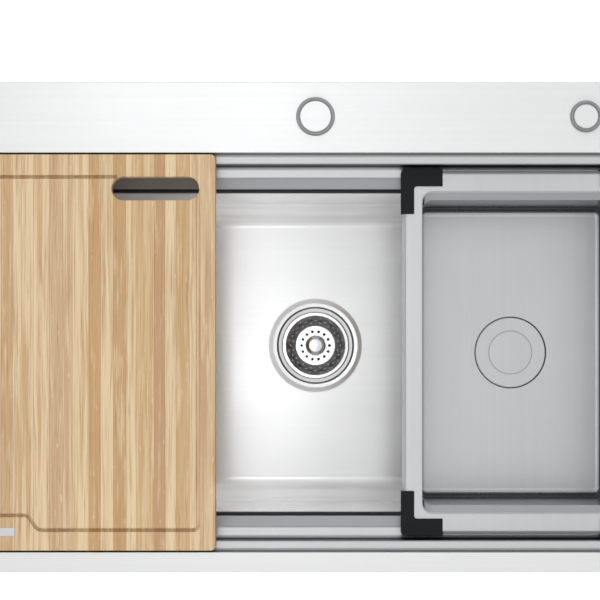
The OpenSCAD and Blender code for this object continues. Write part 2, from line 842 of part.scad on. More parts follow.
module plug_seal() color(rubber) at_plug() rotate_extrude() polygon([
    [0, disc_top - disc_t], [plug_r - 1, disc_top - disc_t], [plug_r - 1, slip - plug_recess_h],
    [plug_body_r, slip - plug_recess_h], [plug_body_r - 1, -10], [plug_body_r - 4, -10],
    [plug_body_r - 4, -4], [0, -4]
]);

rim_plate();
ledge_front();
ledge_back();
end_wall_left();
end_wall_right();
bowl();
rim_seal();
rail_front();
rail_back();
rail_left();
rail_right();
clip_brackets();
clip_screws();
clip_feet();
sound_pad_left();
sound_pad_right();
sound_pad_front();
sound_pad_back();
tap_cap();
tap_cap_gasket();
tap_cap_washer();
tap_cap_nut();
soap_cap();
soap_cap_gasket();
soap_cap_washer();
soap_cap_nut();
strainer_body();
strainer_gasket();
strainer_washer();
strainer_slip_ring();
strainer_nut();
basket_cup();
basket_post();
basket_knob();
basket_stopper();
board();
board_plate();
tub_shell();
pad_front_left();
pad_front_right();
pad_back_left();
pad_back_right();
plug_disc();
plug_seal();
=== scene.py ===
"""Finishes a drop-in workstation sink: its steel sheets, sliding bamboo board, sliding tub and strainer.

Every piece is modelled in metres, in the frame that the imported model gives, and rides on one of its bodies.
"""

from collections import namedtuple
from contextlib import contextmanager
from math import pi, radians, tan, tau

import bmesh
import bpy
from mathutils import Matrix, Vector


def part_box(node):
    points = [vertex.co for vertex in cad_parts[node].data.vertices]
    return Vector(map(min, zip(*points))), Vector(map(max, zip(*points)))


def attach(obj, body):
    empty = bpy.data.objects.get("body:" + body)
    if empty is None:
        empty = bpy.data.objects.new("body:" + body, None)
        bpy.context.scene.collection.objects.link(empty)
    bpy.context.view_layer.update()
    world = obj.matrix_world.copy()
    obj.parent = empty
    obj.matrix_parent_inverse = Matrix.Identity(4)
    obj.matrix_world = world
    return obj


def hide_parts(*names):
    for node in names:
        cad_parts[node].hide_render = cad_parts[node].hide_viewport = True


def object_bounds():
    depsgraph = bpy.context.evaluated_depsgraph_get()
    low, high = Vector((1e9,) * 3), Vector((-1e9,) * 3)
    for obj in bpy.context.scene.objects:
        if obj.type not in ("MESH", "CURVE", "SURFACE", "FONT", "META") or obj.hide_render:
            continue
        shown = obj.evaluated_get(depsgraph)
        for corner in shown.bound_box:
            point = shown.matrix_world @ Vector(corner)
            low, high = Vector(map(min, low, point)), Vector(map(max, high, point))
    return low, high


bl_info = {
    "name": "Workstation sink",
    "version": (1, 0, 0),
    "blender": (4, 5, 0),
    "location": "3D View > Sidebar > Sink",
    "description": "Models a drop-in workstation sink with its sliding board and tub",
    "category": "Add Mesh",
}

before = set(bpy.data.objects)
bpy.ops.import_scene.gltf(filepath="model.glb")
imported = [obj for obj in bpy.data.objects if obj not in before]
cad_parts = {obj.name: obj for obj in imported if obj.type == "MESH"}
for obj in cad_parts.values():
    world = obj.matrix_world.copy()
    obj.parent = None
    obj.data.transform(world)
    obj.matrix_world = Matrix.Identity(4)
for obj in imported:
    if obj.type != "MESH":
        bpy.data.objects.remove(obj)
cad_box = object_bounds()


def middle_of(node):
    low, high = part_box(node)
    return (low + high) / 2


def radius_of(node):
    low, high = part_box(node)
    return (high.x - low.x) / 2


BOWL_MIDDLE = middle_of("bowl")
DRAIN = middle_of("strainer_body")
RIM_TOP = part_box("rim_plate")[1].z

# nearer than TINY, two places count as the same, and nearer than MERGE, two corners become one
TINY = 1e-5
MERGE = TINY / 10
# how far a cutter reaches past the piece that it cuts
PAST = 0.01
# how far a piece may differ from its node's box
ROOM = 0.001
# edges sharper than these stay sharp, on modelled pieces and on nodes that keep their own mesh
SHARP, CREASE = radians(35), radians(32)


# ---- Sizes and colours that a user would change ----

def length(name, description, default):
    return bpy.props.FloatProperty(name=name, description=description, default=default, unit="LENGTH", min=0)


def colour(name, description, default):
    return bpy.props.FloatVectorProperty(
        name=name, description=description, default=default, subtype="COLOR", size=3, min=0, max=1)


class SinkSizes(bpy.types.PropertyGroup):
    sheet: length("Sheet", "Thickness of the bowl's and ledges' steel", 0.0012)
    rim_corner: length("Rim corner", "Radius of the rim's outer corners", 0.012)
    opening_corner: length("Opening corner", "Radius of the opening's corners", 0.006)
    rim_edge: length("Rim edge", "Rounding of the rim plate's edges", 0.0006)
    cover_overlap: length("Cover overlap", "How far the hole covers reach past their holes", 0.0024)
    upper_drop: length("Upper drop", "Depth of the upper ledge below the rim", 0.016)
    upper_width: length("Upper width", "Width of the upper ledge", 0.0111)
    lower_drop: length("Lower drop", "Depth of the lower ledge below the rim", 0.032)
    lower_width: length("Lower width", "Width of the lower ledge", 0.0117)
    slope_width: length("Slope width", "Width of the slope down to the bowl", 0.015)
    slope_height: length("Slope height", "Height of the slope down to the bowl", 0.012)
    weld_height: length("Weld height", "Height of the sheet below the slope", 0.006)
    upper_bend: length("Upper bend", "Radius of the upper ledge's corner", 0.004)
    lower_bend: length("Lower bend", "Radius of the lower ledge's corner", 0.005)
    edge_bend: length("Edge bend", "Radius of the ledges' edges", 0.0025)
    slope_bend: length("Slope bend", "Radius where the slope turns down", 0.010)
    bowl_corner: length("Bowl corner", "Radius of the bowl's upright corners", 0.030)
    bowl_bend: length("Bowl bend", "Radius between the bowl's walls and floor", 0.026)
    recess: length("Recess", "Radius of the pressed recess round the drain", 0.0515)
    recess_depth: length("Recess depth", "Depth of the recess round the drain", 0.0025)
    drain_hole: length("Drain hole", "Radius of the bowl's hole for the strainer", 0.0395)
    basket_hole: length("Basket hole", "Radius of the basket's holes", 0.0016)
    tub_sheet: length("Tub sheet", "Thickness of the tub's steel", 0.001)
    tub_width: length("Tub width", "Inside width of the tub, along the sink", 0.2036)
    tub_length: length("Tub length", "Inside length of the tub, front to back", 0.315)
    tub_depth: length("Tub depth", "Depth of the tub's floor below the rim", 0.140)
    mouth_width: length("Mouth width", "How far the tub's mouth flares at the front and the back", 0.0085)
    mouth_height: length("Mouth height", "Height of the tub's flared mouth", 0.006)
    tub_corner: length("Tub corner", "Radius of the tub's upright corners", 0.011)
    tub_bend: length("Tub bend", "Radius between the tub's walls and floor", 0.010)
    board_corner: length("Board corner", "Radius of the board's upright corners", 0.005)
    board_edge: length("Board edge", "Rounding of the board's edges", 0.0015)
    slot_width: length("Slot width", "Width of the board's hand slot", 0.0895)
    slot_depth: length("Slot depth", "Depth of the hand slot, front to back", 0.0245)
    groove_width: length("Groove width", "Width of the board's juice groove", 0.004)
    groove_depth: length("Groove depth", "Depth of the juice groove", 0.003)


class SinkColours(bpy.types.PropertyGroup):
    # the deck and the ledges are one steel: the deck is painted lighter and the ledges' flats darker, as
    # painted light and shade
    deck_steel: colour("Deck steel", "Rim and tap deck", (0.93, 0.935, 0.94))
    ledge_steel: colour("Ledge steel", "Flat parts of the ledges", (0.80, 0.81, 0.825))
    # painted shade: mid-grey steel on the slopes, the tub's flared mouth and the plug's groove
    slope_steel: colour("Slope steel", "Slopes between ledges and bowl", (0.47, 0.485, 0.505))
    # painted shade on the ledges' upright parts and folds
    crease_shade: colour("Folded steel", "Upright parts of the ledges", (0.10, 0.104, 0.112))
    # painted shade on the upright step above the upper ledge and on the rim plate's edge
    upper_step_shade: colour("Upper fold", "Fold above the upper ledge and the rim's edge", (0.34, 0.345, 0.355))
    bowl_steel: colour("Bowl steel", "Floor of the bowl", (0.87, 0.874, 0.882))
    # painted shade: darker steel on the bowl's outside and the end walls
    outer_steel: colour("Outer steel", "Outside of the bowl and the end walls", (0.42, 0.43, 0.445))
    # painted light: the bowl's walls and the tub's bends are painted lighter than the floors
    wall_and_bend_highlight: colour("Bowl wall", "Walls of the bowl", (0.95, 0.954, 0.96))
    tub_steel: colour("Tub steel", "Rim and floor of the tub", (0.76, 0.77, 0.785))
    shaded_steel: colour("Shaded steel", "Walls of the tub", (0.20, 0.208, 0.225))
    bright_steel: colour("Bright steel", "Polished steel", (0.84, 0.84, 0.845))
    # painted shade on the covers' bevelled rings
    ring_steel: colour("Ring steel", "Rings of the hole covers", (0.50, 0.51, 0.525))
    bamboo_pale: colour("Pale bamboo", "Palest strips", (0.83, 0.652, 0.41))
    bamboo_golden: colour("Golden bamboo", "Golden strips", (0.585, 0.355, 0.157))
    bamboo_rosy: colour("Rosy bamboo", "Rosy strips", (0.565, 0.347, 0.205))
    bamboo_brown: colour("Brown bamboo", "Darkest streaks and the joints between strips", (0.37, 0.185, 0.07))
    silicone: colour("Silicone", "Corner pads", (0.008, 0.0085, 0.0105))
    rubber: colour("Rubber", "Seals and gaskets", (0.022, 0.022, 0.024))
    damping: colour("Damping sheet", "Sound-deadening pads", (0.085, 0.09, 0.10))
    zinc: colour("Zinc", "Rails, brackets and screws", (0.62, 0.64, 0.66))
    plastic: colour("Plastic", "Nuts, washers and feet", (0.70, 0.70, 0.67))


def sizes():
    return bpy.context.scene.sink_sizes


def colours():
    return bpy.context.scene.sink_colours


# ---- Modelling by hand: selecting, cutting and finishing ----

def clear_selection():
    for thing in bpy.context.selected_objects:
        thing.select_set(False)


@contextmanager
def editing(piece):
    clear_selection()
    piece.select_set(True)
    bpy.context.view_layer.objects.active = piece
    bpy.ops.object.mode_set(mode="EDIT")
    yield
    bpy.ops.object.mode_set(mode="OBJECT")


def select(kind, test):
    """Selects the vertices, edges or faces of the edited piece for which test is true."""
    mesh = bpy.context.object.data
    bpy.ops.mesh.select_mode(type=kind)
    bpy.ops.mesh.select_all(action="DESELECT")
    form = bmesh.from_edit_mesh(mesh)
    for element in {"VERT": form.verts, "EDGE": form.edges, "FACE": form.faces}[kind]:
        if test(element):
            element.select_set(True)
    form.select_flush_mode()
    bmesh.update_edit_mesh(mesh)


def upright(edge):
    a, b = (v.co for v in edge.verts)
    return (a.xy - b.xy).length < TINY < abs(a.z - b.z)


def level(height):
    """A test for edges and faces that lie at a height."""
    return lambda element: all(abs(v.co.z - height) < TINY for v in element.verts)


def open_level(height):
    """A test for the edges at a height that have no face on one side."""
    return lambda edge: len(edge.link_faces) < 2 and level(height)(edge)


def select_all():
    bpy.ops.mesh.select_all(action="SELECT")


def extrude(x=0, y=0, z=0):
    bpy.ops.mesh.extrude_region_move(TRANSFORM_OT_translate={"value": (x, y, z)})


def bevel(radius, steps, affect="EDGES"):
    bpy.ops.mesh.bevel(offset=radius, segments=steps, affect=affect)


def remove_faces(test):
    """Opens the edited piece where test is true of a face, and keeps the edges."""
    select("FACE", test)
    bpy.ops.mesh.delete(type="ONLY_FACE")


def merge():
    select_all()
    bpy.ops.mesh.remove_doubles(threshold=MERGE)


def face_outwards(inside=False):
    """Turns every face of the edited piece outwards, or inwards."""
    select_all()
    bpy.ops.mesh.normals_make_consistent(inside=inside)


def run_modifier(piece, kind, **settings):
    clear_selection()
    bpy.context.view_layer.objects.active = piece
    modifier = piece.modifiers.new(kind, kind)
    for field, value in settings.items():
        setattr(modifier, field, value)
    bpy.ops.object.modifier_apply(modifier=modifier.name)


def cut(piece, cutter):
    run_modifier(piece, "BOOLEAN", operation="DIFFERENCE", object=cutter, solver="EXACT")
    bpy.data.objects.remove(cutter)


def soften(piece, width, angle=30, segments=2):
    """Rounds every edge that is sharper than angle."""
    run_modifier(piece, "BEVEL", width=width, segments=segments, limit_method="ANGLE",
                 angle_limit=radians(angle), harden_normals=True, miter_outer="MITER_ARC")


def thicken(piece, thickness, side=-1):
    run_modifier(piece, "SOLIDIFY", thickness=thickness, offset=side, use_even_offset=True)


def join(piece, *others):
    clear_selection()
    for other in (piece, *others):
        other.select_set(True)
    bpy.context.view_layer.objects.active = piece
    bpy.ops.object.join()
    return piece


def block(name, low, high, corner=0.0, steps=8):
    """A box between two corners, with its upright edges rounded."""
    low, high = Vector(low), Vector(high)
    clear_selection()
    bpy.ops.mesh.primitive_cube_add(size=1)
    piece = bpy.context.object
    piece.name = name
    with editing(piece):
        bpy.ops.transform.resize(value=high - low)
        bpy.ops.transform.translate(value=(low + high) / 2)
        if corner:
            select("EDGE", upright)
            bevel(corner, steps)
    return piece


def seed_point(name, place):
    """A mesh of one vertex, left in edit mode, from which an outline is drawn."""
    clear_selection()
    bpy.ops.mesh.primitive_plane_add(size=1)
    piece = bpy.context.object
    piece.name = name
    bpy.ops.object.mode_set(mode="EDIT")
    select("VERT", lambda v: v.index != 0)
    bpy.ops.mesh.delete(type="VERT")
    select_all()
    corner = bmesh.from_edit_mesh(piece.data).verts
    corner.ensure_lookup_table()
    bpy.ops.transform.translate(value=Vector(place) - corner[0].co)
    return piece


def turned(name, centre, section, steps=96):
    """A shape turned about an upright axis, from its section as (radius, height) pairs."""
    centre = Vector(centre)
    radius, height = section[0]
    piece = seed_point(name, centre + Vector((radius, 0, height)))
    for next_radius, next_height in section[1:]:
        extrude(x=next_radius - radius, z=next_height - height)
        radius, height = next_radius, next_height
    if section[0][0] > 0:
        ends = [centre + Vector((r, 0, z)) for r, z in (section[0], section[-1])]
        select("VERT", lambda v: min((v.co - end).length for end in ends) < MERGE)
        bpy.ops.mesh.edge_face_add()
    select_all()
    bpy.ops.mesh.spin(steps=steps, angle=tau, center=centre, axis=(0, 0, 1))
    merge()
    face_outwards()
    bpy.ops.object.mode_set(mode="OBJECT")
    return piece


def finish(piece, body, material, node):
    """Smooths a piece, gives it its look, checks its size against its node, ties it to its body and hides the
    node.
    """
    with editing(piece):
        merge()
    piece.data.materials.clear()
    piece.data.materials.append(material)
    bpy.ops.object.shade_smooth_by_angle(angle=SHARP)
    run_modifier(piece, "WEIGHTED_NORMAL", mode="FACE_AREA", weight=50, keep_sharp=True)
    for axis, low, high in zip("xyz", *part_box(node)):
        places = [getattr(v.co, axis) for v in piece.data.vertices]
        if abs(min(places) - low) > ROOM or abs(max(places) - high) > ROOM:
            raise ValueError(f"{piece.name} spans {min(places)} to {max(places)} along {axis}, "
                             f"and {node} {low} to {high}")
    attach(piece, body)
    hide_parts(node)


def paint(piece, material, test):
    """Gives a second look to the faces for which test is true."""
    piece.data.materials.append(material)
    number = len(piece.data.materials) - 1
    for face in piece.data.polygons:
        if test(face):
            face.material_index = number


def within(place, middle, reach_x, reach_y):
    """Whether a place lies within a reach of the middle along X and Y."""
    away = place - middle
    return abs(away.x) < reach_x and abs(away.y) < reach_y


def from_axis(face, middle):
    """How far a face lies from the upright axis through the middle."""
    return (face.center.xy - middle.xy).length


# ---- Materials ----

def add_node(tree, kind, inputs=None, **settings):
    """Adds a shader node, sets its fields, and sets or links its inputs."""
    node = tree.nodes.new("ShaderNode" + kind)
    for field, value in settings.items():
        setattr(node, field, value)
    for socket, value in (inputs or {}).items():
        if isinstance(value, bpy.types.NodeSocket):
            tree.links.new(value, node.inputs[socket])
        else:
            node.inputs[socket].default_value = value
    return node


def empty_tree(owner):
    """The node tree of a material or a world, with its first nodes removed."""
    owner.use_nodes = True
    owner.node_tree.nodes.clear()
    return owner.node_tree


def look(name, kind, *settings, **more):
    """The material of a name, which kind makes when it is first asked for."""
    made = bpy.data.materials.get(name)
    if made is None:
        made = bpy.data.materials.new(name)
        tree = empty_tree(made)
        surface = add_node(tree, "BsdfPrincipled")
        add_node(tree, "OutputMaterial", {"Surface": surface.outputs["BSDF"]})
        kind(tree, surface, *settings, **more)
    return made


def calculate(tree, operation, *values):
    return add_node(tree, "Math", dict(enumerate(values)), operation=operation).outputs[0]


def noise(tree, scale, detail=2.0, roughness=0.5, place=None):
    """A noise value; scale is how often it changes per metre along each axis."""
    if place is None:
        place = add_node(tree, "TexCoord").outputs["Object"]
    stretched = add_node(tree, "Mapping", {"Vector": place, "Scale": scale}).outputs["Vector"]
    inputs = {"Vector": stretched, "Scale": 1.0, "Detail": detail, "Roughness": roughness}
    return add_node(tree, "TexNoise", inputs).outputs["Fac"]


def spread(tree, value, low, high, start=0.3, end=0.7):
    """Maps a noise value onto a range."""
    return add_node(tree, "MapRange", {"Value": value, "From Min": start, "From Max": end,
                                       "To Min": low, "To Max": high}).outputs["Result"]


def blend(tree, low, high, factor):
    """A colour between two, each a plain colour or a socket."""
    low, high = (end if isinstance(end, bpy.types.NodeSocket) else (*end, 1) for end in (low, high))
    return add_node(tree, "Mix", {0: factor, 6: low, 7: high}, data_type="RGBA").outputs[2]


def shade(rgb, factor):
    return tuple(channel * factor for channel in rgb)


def feed(tree, surface, **values):
    """Links values to the surface's inputs."""
    for field, value in values.items():
        tree.links.new(value, surface.inputs[field.replace("_", " ")])


def bumped(tree, surface, height, strength, distance):
    bump = add_node(tree, "Bump", {"Height": height, "Strength": strength, "Distance": distance})
    feed(tree, surface, Normal=bump.outputs["Normal"])


# the painted shade or painted light of a sheet's upright faces, as colour and metal share, and the slants
# between which it fades into the flat ones, each the upward part of the face's normal
Steep = namedtuple("Steep", "rgb metal start end")

# how often the brushed lines change per metre along X, Y and Z
ALONG = (26, 2600, 2600)
ACROSS = (2600, 26, 2600)
DOWN = (2600, 26, 260)


def brushed(tree, surface, rgb, lines_per_metre, rough=0.30, metal=0.85, steep=None):
    """Satin steel with fine lines, broader streaks and faint clouds of gloss."""
    lines = noise(tree, lines_per_metre, 3.0, 0.6)
    streaks = noise(tree, shade(lines_per_metre, 0.09))
    clouds = noise(tree, (5, 5, 5), 3.0)
    tone = spread(tree, calculate(tree, "ADD", lines, streaks), 0, 1, 0.7, 1.3)
    tint = blend(tree, shade(rgb, 0.98), shade(rgb, 1.012), tone)
    # upright faces get painted shade or painted light by their slant
    if steep:
        normal = add_node(tree, "NewGeometry").outputs["Normal"]
        slant = add_node(tree, "SeparateXYZ", {0: normal}).outputs["Z"]
        tint = blend(tree, steep.rgb, tint, spread(tree, slant, 0, 1, steep.start, steep.end))
        feed(tree, surface, Metallic=spread(tree, slant, steep.metal, metal, steep.start, steep.end))
    else:
        surface.inputs["Metallic"].default_value = metal
    fine_gloss = spread(tree, lines, rough - 0.008, rough + 0.008)
    roughness = calculate(tree, "ADD", fine_gloss, spread(tree, clouds, -0.02, 0.02))
    feed(tree, surface, Base_Color=tint, Roughness=roughness)
    bumped(tree, surface, lines, 0.008, 0.0001)


def deck_steel():
    # the rim's upright edges get painted shade by their slant
    return look("deck_steel", brushed, colours().deck_steel, ALONG, metal=0.6,
                steep=Steep(colours().upper_step_shade, metal=0.9, start=0.3, end=0.9))


def upper_ledge_steel():
    # the upright step above the upper ledge gets painted shade by its slant
    return look("upper_ledge_steel", brushed, colours().ledge_steel, ALONG,
                steep=Steep(colours().upper_step_shade, metal=0.9, start=0.55, end=0.97))


def fold_steel():
    """Painted shade, the darkest, on the folds below the slopes."""
    return look("fold_steel", brushed, shade(colours().crease_shade, 0.4), ALONG)


def ledge_steel():
    # the ledges' upright faces and bends get painted shade by their slant
    return look("ledge_steel", brushed, colours().ledge_steel, ALONG,
                steep=Steep(colours().crease_shade, metal=0.9, start=0.55, end=0.97))


def slope_steel():
    return look("slope_steel", brushed, colours().slope_steel, ALONG, metal=0.4)


def bowl_steel():
    # the bowl's walls and bend get painted light by their slant
    return look("bowl_steel", brushed, colours().bowl_steel, ALONG, rough=0.22, metal=0.7,
                steep=Steep(colours().wall_and_bend_highlight, metal=0.55, start=0.93, end=0.998))


def outer_steel():
    return look("outer_steel", brushed, colours().outer_steel, ALONG, rough=0.38, metal=0.9)


def tub_steel():
    # the tub's bends get a painted highlight by their slant
    return look("tub_steel", brushed, colours().tub_steel, ACROSS, rough=0.34,
                steep=Steep(colours().wall_and_bend_highlight, metal=0.2, start=0.45, end=0.985))


def tub_wall_steel():
    """Dark steel painted as shade on the tub's walls, also for the painted shadow rings round the plug and
    the strainer.
    """
    return look("tub_wall_steel", brushed, colours().shaded_steel, DOWN, rough=0.28, metal=0.9)


def turned_marks(tree, surface, rgb, rough):
    """Polished steel with faint marks of turning."""
    clouds = noise(tree, (60, 60, 60), 4.0)
    marks = noise(tree, (300, 300, 3000))
    surface.inputs["Metallic"].default_value = 1.0
    feed(tree, surface, Base_Color=blend(tree, shade(rgb, 0.95), rgb, spread(tree, clouds, 0, 1)),
         Roughness=spread(tree, marks, rough - 0.04, rough + 0.06))
    bumped(tree, surface, marks, 0.05, 0.0001)


def polished_steel():
    return look("turned_steel", turned_marks, colours().bright_steel, 0.16)


def ring_steel():
    return look("ring_steel", turned_marks, colours().ring_steel, 0.3)


def moulded(tree, surface, rgb, rough, grain=1800, strength=0.15):
    """Rubber, silicone or plastic: a fine moulded grain with soft wear."""
    fine = noise(tree, (grain, grain, grain))
    wear = noise(tree, (45, 45, 45), 4.0, 0.6)
    tint = blend(tree, shade(rgb, 0.85), shade(rgb, 1.25), spread(tree, wear, 0, 1))
    feed(tree, surface, Base_Color=tint, Roughness=spread(tree, wear, rough - 0.06, rough + 0.08))
    surface.inputs["Specular IOR Level"].default_value = 0.3
    bumped(tree, surface, fine, strength, 0.0002)


def soft_silicone():
    return look("soft_silicone", moulded, colours().silicone, 0.5, strength=0.2)


def plated(tree, surface, rgb):
    """Zinc plate: a bright, slightly blotched metal."""
    blotches = noise(tree, (220, 220, 220), 4.0, 0.65)
    surface.inputs["Metallic"].default_value = 0.9
    tint = blend(tree, shade(rgb, 0.82), shade(rgb, 1.1), spread(tree, blotches, 0, 1))
    feed(tree, surface, Base_Color=tint, Roughness=spread(tree, blotches, 0.3, 0.5))
    bumped(tree, surface, blotches, 0.08, 0.0003)


# mean width of the bamboo's glued strips
STRIP = 0.0128


def glued_strips(tree, surface, tone=1.0):
    """Bamboo strips of uneven width that run front to back, each with its own colour and fibres."""
    place = add_node(tree, "TexCoord").outputs["Object"]
    x, y, z = add_node(tree, "SeparateXYZ", {0: place}).outputs
    across = {"W": calculate(tree, "MULTIPLY", x, 1 / STRIP), "Scale": 1.0}
    strips = add_node(tree, "TexVoronoi", across, voronoi_dimensions="1D")
    edges = add_node(tree, "TexVoronoi", across, voronoi_dimensions="1D", feature="DISTANCE_TO_EDGE")
    own, hue, start = add_node(tree, "SeparateColor", {0: strips.outputs["Color"]}).outputs
    # the grain of each strip starts somewhere else and wanders a little
    wander = calculate(tree, "MULTIPLY_ADD", noise(tree, (60, 8, 30)), 0.006, x)
    offset = calculate(tree, "MULTIPLY_ADD", start, 7.0, y)
    moved = add_node(tree, "CombineXYZ", {0: wander, 1: offset, 2: z}).outputs[0]
    fibres = noise(tree, (900, 7, 200), 3.0, 0.6, moved)
    bands = noise(tree, (230, 5, 80), 3.0, 0.6, moved)
    flames = noise(tree, (190, 14, 60), 4.0, 0.6, moved)
    streaks = noise(tree, (520, 13, 120), 4.0, 0.65, moved)
    flecks = noise(tree, (420, 60, 150), place=moved)
    c = colours()
    written = (c.bamboo_pale, c.bamboo_golden, c.bamboo_rosy, c.bamboo_brown)
    pale, golden, rosy, brown = (shade(rgb, tone) for rgb in written)
    warm = blend(tree, golden, rosy, hue)
    grain = blend(tree, pale, warm, spread(tree, own, 0, 0.95, 0.15, 0.85))
    # each kind of mark in turn: its colour, its noise, how much it covers and from what noise to what
    for rgb, marks, cover, first, full in (
            (warm, bands, 0.70, 0.44, 0.60), (pale, flames, 0.70, 0.52, 0.68),
            (brown, streaks, 0.60, 0.56, 0.72), (brown, fibres, 0.25, 0.5, 0.75),
            (pale, flecks, 0.85, 0.66, 0.76)):
        grain = blend(tree, grain, rgb, spread(tree, marks, 0, cover, first, full))
    grain = blend(tree, brown, grain, spread(tree, edges.outputs["Distance"], 0.60, 1, 0.0, 0.04))
    feed(tree, surface, Base_Color=grain, Roughness=spread(tree, fibres, 0.46, 0.60))
    bumped(tree, surface, fibres, 0.12, 0.0003)


def bamboo():
    return look("glued_bamboo", glued_strips)


# darker bamboo for the groove, hand slot and plate recess: partly the routed fibres' own tone, partly painted
# shade in the hollows
def routed_bamboo():
    return look("routed_bamboo", glued_strips, tone=0.92)


# ---- Rim and ledges ----

def model_rim():
    s = sizes()
    low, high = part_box("rim_plate")
    half_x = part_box("bowl")[1].x - s.sheet
    back_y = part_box("ledge_back")[1].y - s.sheet
    front_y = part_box("ledge_front")[0].y + s.sheet
    rim = block("rim_and_tap_deck", low, high, s.rim_corner, 12)
    cut(rim, block("opening", (-half_x, front_y, low.z - PAST), (half_x, back_y, high.z + PAST),
                   s.opening_corner))
    for cover in ("tap_cap", "soap_cap"):
        middle = middle_of(cover)
        radius = radius_of(cover) - s.cover_overlap
        outline = [(0, -PAST), (radius, -PAST), (radius, 2 * PAST), (0, 2 * PAST)]
        cut(rim, turned("hole", (middle.x, middle.y, low.z), outline, 64))
    soften(rim, s.rim_edge, segments=3)
    finish(rim, "sink", deck_steel(), "rim_plate")


def ledge_profile():
    """Points of the stepped sheet, as distance from the opening's middle and height, with their bends."""
    s = sizes()
    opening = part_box("ledge_back")[1].y - s.sheet - BOWL_MIDDLE.y
    upper = opening - s.upper_width
    lower = upper - s.lower_width
    bowl = lower - s.slope_width
    high, low = RIM_TOP - s.upper_drop, RIM_TOP - s.lower_drop
    slope_end = low - s.slope_height
    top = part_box("ledge_back")[1].z
    return [
        ((opening, top), 0), ((opening, high), s.upper_bend), ((upper, high), s.edge_bend),
        ((upper, low), s.lower_bend), ((lower, low), s.edge_bend), ((bowl, slope_end), s.slope_bend),
        ((bowl, slope_end - s.weld_height), 0),
    ]


def model_ledge(name, node, side):
    """Bends a ledge sheet from its profile; side is -1 at the front and 1 at the back."""
    s = sizes()
    profile = [(BOWL_MIDDLE.y + side * y, z, bend) for (y, z), bend in ledge_profile()]
    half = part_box(node)[1].x
    sheet = seed_point(name, (-half, profile[0][0], profile[0][1]))
    for (y, z, _), (next_y, next_z, _) in zip(profile, profile[1:]):
        extrude(y=next_y - y, z=next_z - z)
    select_all()
    extrude(x=2 * half)
    for before, (y, z, bend), after in zip(profile, profile[1:], profile[2:]):
        if bend:
            u = Vector((y - before[0], z - before[1]))
            v = Vector((after[0] - y, after[1] - z))
            select("EDGE", lambda e: all(abs(p.co.y - y) < TINY and abs(p.co.z - z) < TINY for p in e.verts))
            bevel(bend * tan(u.angle(v) / 2), 8)
    bpy.ops.object.mode_set(mode="OBJECT")
    thicken(sheet, s.sheet, side=-1 if side > 0 else 1)
    finish(sheet, "sink", ledge_steel(), node)
    slant = s.slope_width / Vector((s.slope_width, s.slope_height)).length
    about = 0.01
    upper = RIM_TOP - s.upper_drop
    half_slope = RIM_TOP - s.lower_drop - s.slope_height / 2
    # faces from the upper ledge up get the painted shade of the upper step
    paint(sheet, upper_ledge_steel(), lambda face: face.center.z > upper - TINY)
    # painted shade on the slopes
    paint(sheet, slope_steel(), lambda face: abs(face.normal.z - slant) < about)
    # painted shade, darkest, on the bend below each slope and the sheet beneath it
    paint(sheet, fold_steel(),
          lambda face: -0.1 < face.normal.z < slant - about and face.center.z < half_slope)


# ---- Bowl ----

def step_ring(middle, radius, height):
    """Extrudes the selected circle round the middle to a radius and a height."""
    form = bmesh.from_edit_mesh(bpy.context.object.data)
    ring = [v for v in form.verts if v.select]
    growth = radius / (ring[0].co.xy - middle.xy).length
    extrude(z=height - ring[0].co.z)
    bpy.ops.transform.resize(value=(growth, growth, 1), center_override=(middle.x, middle.y, height))


def pierce_floor(middle, floor, radius, steps):
    """Opens a round hole in the edited floor, and steps down from it; each step is a radius and a depth."""
    remove_faces(level(floor))
    bpy.ops.mesh.select_all(action="DESELECT")
    bpy.ops.mesh.primitive_circle_add(vertices=96, radius=radius, location=(middle.x, middle.y, floor))
    select("EDGE", open_level(floor))
    bpy.ops.mesh.fill()
    select("EDGE", open_level(floor))
    for step_radius, depth in steps:
        step_ring(middle, step_radius, floor - depth)


def bowl_floor():
    """Height of the bowl's floor, above the recess in which the strainer's gasket lies."""
    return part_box("strainer_gasket")[0].z + sizes().recess_depth


def model_bowl():
    s = sizes()
    low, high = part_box("bowl")
    floor, top = bowl_floor(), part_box("ledge_back")[0].z
    half_x = high.x - s.sheet
    front_y, back_y = low.y + s.sheet, high.y - s.sheet
    bowl = block("bowl_shell", (-half_x, front_y, floor), (half_x, back_y, top), s.bowl_corner, 12)
    with editing(bowl):
        remove_faces(level(top))
        select("EDGE", level(floor))
        bevel(s.bowl_bend, 12)
        pierce_floor(DRAIN, floor, s.recess + 0.0020, [
            (s.recess, 0.0004), (s.recess - 0.0030, s.recess_depth - 0.0004),
            (s.recess - 0.0045, s.recess_depth), (s.drain_hole, s.recess_depth)])
        face_outwards(inside=True)
    # the flange closes the corners between the round bowl and the square ends of the ledges
    flange = block("flange", (low.x, low.y, top - s.sheet), (high.x, high.y, top))
    inset = s.sheet / 2
    cut(flange, block("hollow", (-half_x - inset, front_y - inset, top - PAST),
                      (half_x + inset, back_y + inset, top + PAST), s.bowl_corner + inset, 12))
    thicken(bowl, s.sheet)
    run_modifier(bowl, "BOOLEAN", operation="UNION", object=flange, solver="EXACT")
    bpy.data.objects.remove(flange)
    finish(bowl, "sink", bowl_steel(), "bowl")
    # painted shade on the bowl's outside faces
    paint(bowl, outer_steel(), lambda face: face.normal.dot(face.center - BOWL_MIDDLE) > 0)


# ---- Hole covers ----

